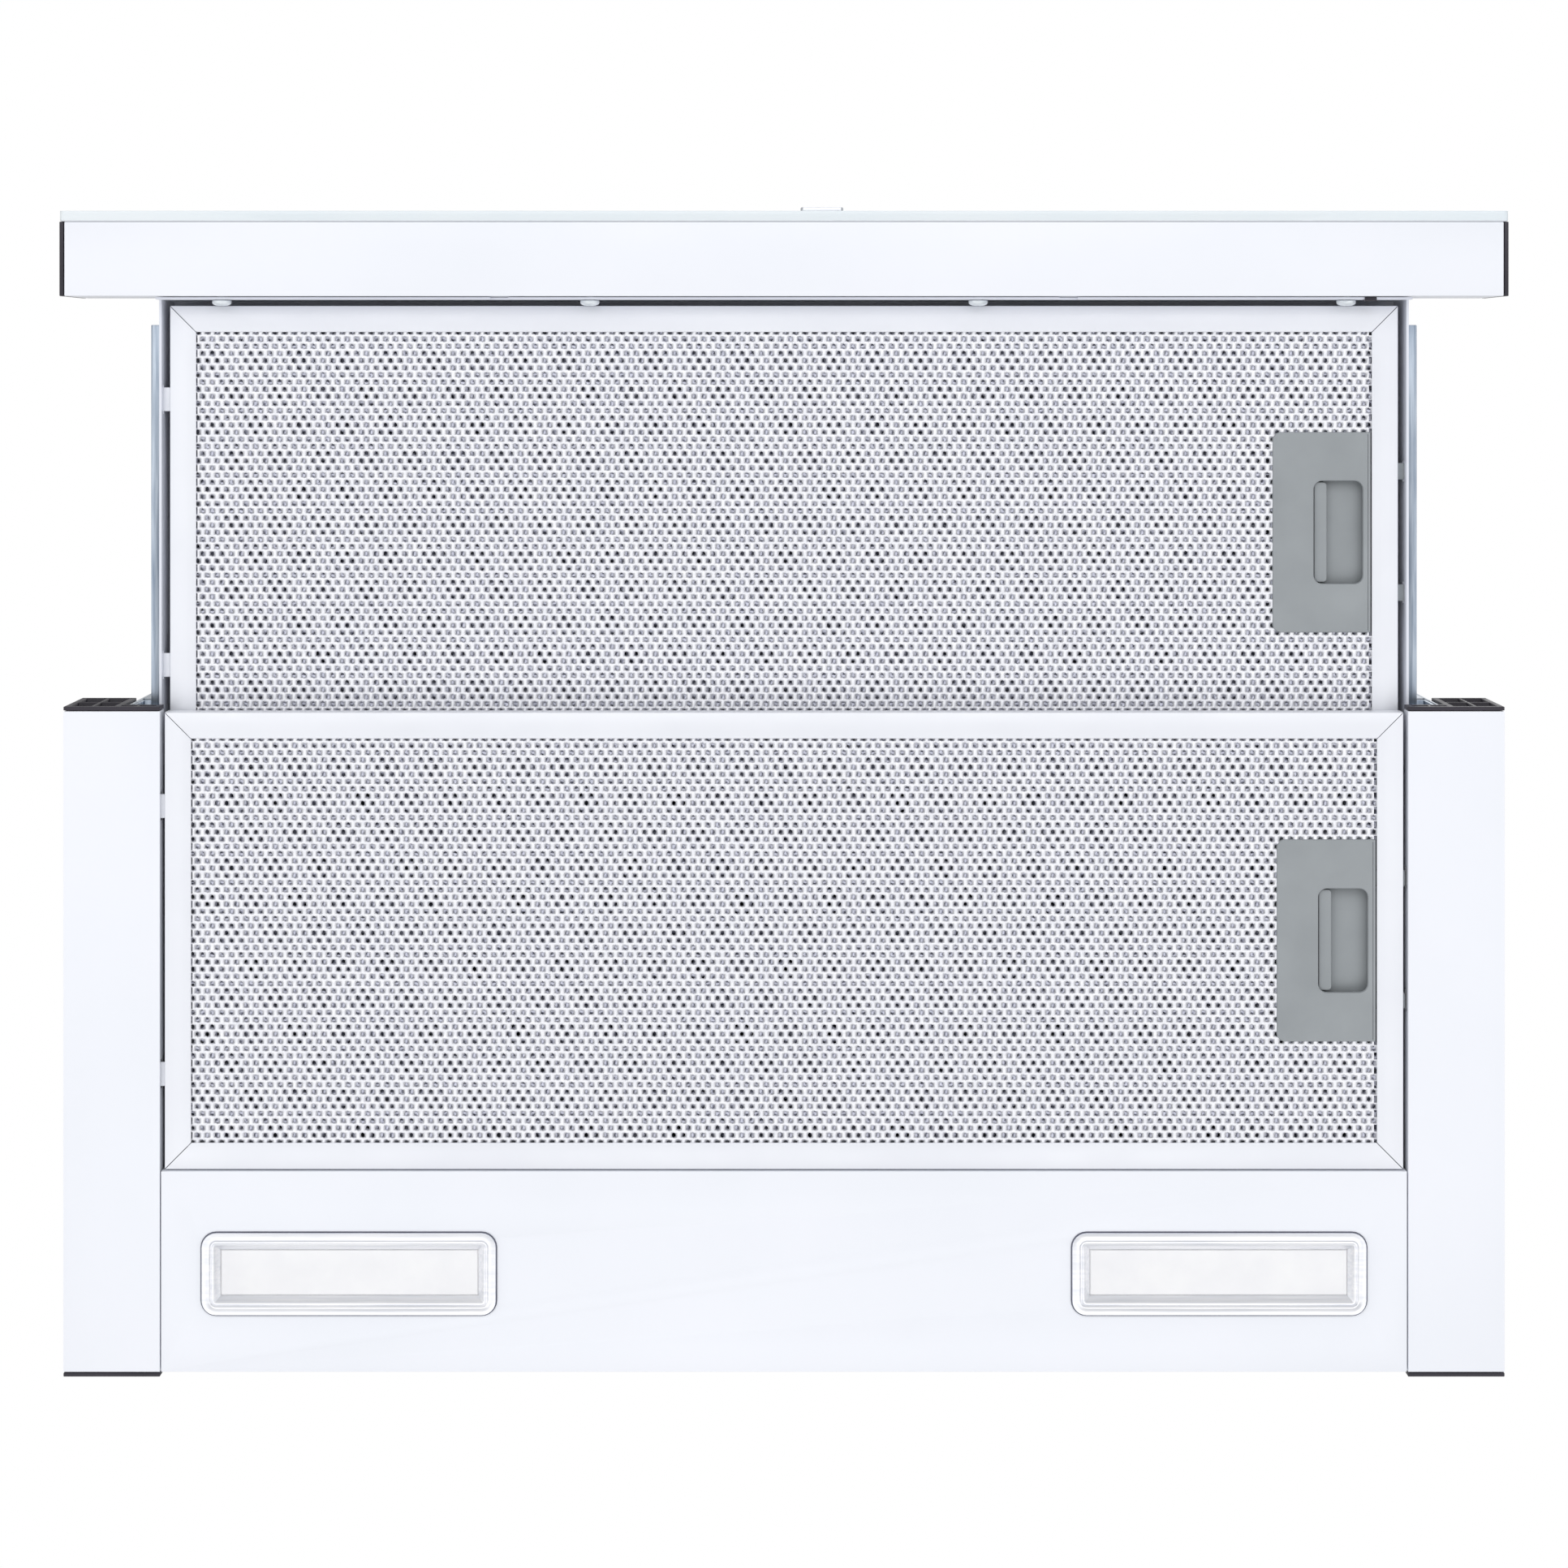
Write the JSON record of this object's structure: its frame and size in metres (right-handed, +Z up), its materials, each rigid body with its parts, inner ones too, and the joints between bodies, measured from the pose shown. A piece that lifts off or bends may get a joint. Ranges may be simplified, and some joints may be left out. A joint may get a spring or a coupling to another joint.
{
  "type": "under cabinet range hood",
  "caption": "Slide-out under cabinet range hood with a glass-fronted drawer, mesh grease filters, rear lamps, an enclosed blower and a round top outlet.",
  "frame": {"origin": "on the wall face at mid width, level with the underside of the cabinet", "axes": "+X to the right seen from the front, +Y to the wall, +Z up"},
  "size_m": [0.6, 0.4861, 0.2213],
  "materials": {
    "white_enamel": "satin white powder coat",
    "pan_enamel": "satin white powder coat, inside the drawer",
    "housing_steel": "pale powder-coated body sheet",
    "filter_frame": "white lacquered aluminium profile",
    "filter_mesh": "bright expanded aluminium mesh",
    "latch_plastic": "fine grained grey plastic",
    "black_plastic": "fine grained black plastic",
    "blower_plastic": "grained dark plastic",
    "impeller_plastic": "smooth grey plastic",
    "button_plastic": "smooth grey plastic",
    "front_glass": "clear tempered glass with a pale cyan edge",
    "lamp_bezel": "satin metallised bezel",
    "lamp_diffuser": "opal diffuser",
    "badge_metal": "plain satin plate",
    "screw_steel": "bright plated steel",
    "slide_steel": "galvanised steel",
    "cage_steel": "pressed steel with bearing balls",
    "motor_steel": "rolled steel shell",
    "can_aluminium": "drawn can",
    "driver_plastic": "smooth pale plastic",
    "circuit_board": "green board"
  },
  "bodies": {
    "hood": {"housing_shell": "housing_steel", "side_panel_left": "housing_steel", "side_panel_right": "housing_steel", "rear_panel": "white_enamel", "wing_left": "white_enamel", "wing_right": "white_enamel", "wing_cap_front_left": "black_plastic", "wing_cap_front_right": "black_plastic", "wing_cap_rear_left": "black_plastic", "wing_cap_rear_right": "black_plastic", "lamp_bezel_left": "lamp_bezel", "lamp_bezel_right": "lamp_bezel", "lamp_lens_left": "lamp_diffuser", "lamp_lens_right": "lamp_diffuser", "lamp_board_left": "circuit_board", "lamp_board_right": "circuit_board", "slide_channel_left": "slide_steel", "slide_channel_right": "slide_steel", "outlet_collar": "black_plastic", "blower_casing_left": "blower_plastic", "blower_casing_right": "blower_plastic", "motor": "motor_steel", "motor_bracket": "slide_steel", "capacitor": "can_aluminium", "terminal_box": "black_plastic", "mains_gland": "black_plastic", "led_driver": "driver_plastic"},
    "drawer": {"drawer_pan": "pan_enamel", "fascia": "white_enamel", "fascia_cap_left": "black_plastic", "fascia_cap_right": "black_plastic", "front_glass": "front_glass", "badge_plate": "badge_metal", "button_bezel": "button_plastic", "control_board": "circuit_board", "slide_rail_left": "slide_steel", "slide_rail_right": "slide_steel", "fascia_screw_1": "screw_steel", "fascia_screw_2": "screw_steel", "fascia_screw_3": "screw_steel", "fascia_screw_4": "screw_steel", "front_filter_frame": "filter_frame", "front_filter_mesh": "filter_mesh", "front_latch_plate": "latch_plastic"},
    "front_latch_slider": {"front_latch_slider": "latch_plastic"},
    "rear_filter": {"rear_filter_frame": "filter_frame", "rear_filter_mesh": "filter_mesh", "rear_latch_plate": "latch_plastic"},
    "rear_latch_slider": {"rear_latch_slider": "latch_plastic"},
    "slide_cage_left": {"slide_cage_left": "cage_steel"},
    "slide_cage_right": {"slide_cage_right": "cage_steel"},
    "impeller": {"impeller": "impeller_plastic"},
    "damper_flap_left": {"damper_flap_left": "impeller_plastic"},
    "damper_flap_right": {"damper_flap_right": "impeller_plastic"},
    "button_off": {"button_off": "button_plastic"},
    "button_speed_1": {"button_speed_1": "button_plastic"},
    "button_speed_2": {"button_speed_2": "button_plastic"},
    "button_speed_3": {"button_speed_3": "button_plastic"},
    "button_light": {"button_light": "button_plastic"}
  },
  "joints": [
    {"name": "drawer_slide", "type": "slide", "parent": "hood", "child": "drawer", "axis": [0, 1, 0], "range_m": [0, 0.168]},
    {"name": "slide_cage_left_run", "type": "slide", "parent": "hood", "child": "slide_cage_left", "axis": [0, 1, 0], "range_m": [0, 0.084]},
    {"name": "slide_cage_right_run", "type": "slide", "parent": "hood", "child": "slide_cage_right", "axis": [0, 1, 0], "range_m": [0, 0.084]},
    {"name": "impeller_spin", "type": "hinge", "parent": "hood", "child": "impeller", "pos_m": [0, -0.118, 0.08463], "axis": [1, 0, 0], "continuous": true},
    {"name": "damper_left_swing", "type": "hinge", "parent": "hood", "child": "damper_flap_left", "pos_m": [-0.0028, -0.088, 0.16363], "axis": [0, 1, 0], "range_deg": [0, 75]},
    {"name": "damper_right_swing", "type": "hinge", "parent": "hood", "child": "damper_flap_right", "pos_m": [0.0028, -0.088, 0.16363], "axis": [0, -1, 0], "range_deg": [0, 75]},
    {"name": "rear_filter_swing", "type": "hinge", "parent": "hood", "child": "rear_filter", "pos_m": [-0.2573, -0.1807, -0.0352], "axis": [0, 1, 0], "range_deg": [0, 60]},
    {"name": "rear_latch_slide", "type": "slide", "parent": "rear_filter", "child": "rear_latch_slider", "axis": [-1, 0, 0], "range_m": [0, 0.005], "stiffness_N_per_m": 250},
    {"name": "front_latch_slide", "type": "slide", "parent": "drawer", "child": "front_latch_slider", "axis": [-1, 0, 0], "range_m": [0, 0.005], "stiffness_N_per_m": 250},
    {"name": "button_off_press", "type": "slide", "parent": "drawer", "child": "button_off", "axis": [0, 1, 0], "range_m": [0, 0.0015], "stiffness_N_per_m": 300},
    {"name": "button_speed_1_press", "type": "slide", "parent": "drawer", "child": "button_speed_1", "axis": [0, 1, 0], "range_m": [0, 0.0015], "stiffness_N_per_m": 300},
    {"name": "button_speed_2_press", "type": "slide", "parent": "drawer", "child": "button_speed_2", "axis": [0, 1, 0], "range_m": [0, 0.0015], "stiffness_N_per_m": 300},
    {"name": "button_speed_3_press", "type": "slide", "parent": "drawer", "child": "button_speed_3", "axis": [0, 1, 0], "range_m": [0, 0.0015], "stiffness_N_per_m": 300},
    {"name": "button_light_press", "type": "slide", "parent": "drawer", "child": "button_light", "axis": [0, 1, 0], "range_m": [0, 0.0015], "stiffness_N_per_m": 300}
  ],
  "couplings": [
    {"joint": "slide_cage_left_run", "follows": "drawer_slide", "ratio": 0.5},
    {"joint": "slide_cage_right_run", "follows": "drawer_slide", "ratio": 0.5}
  ]
}
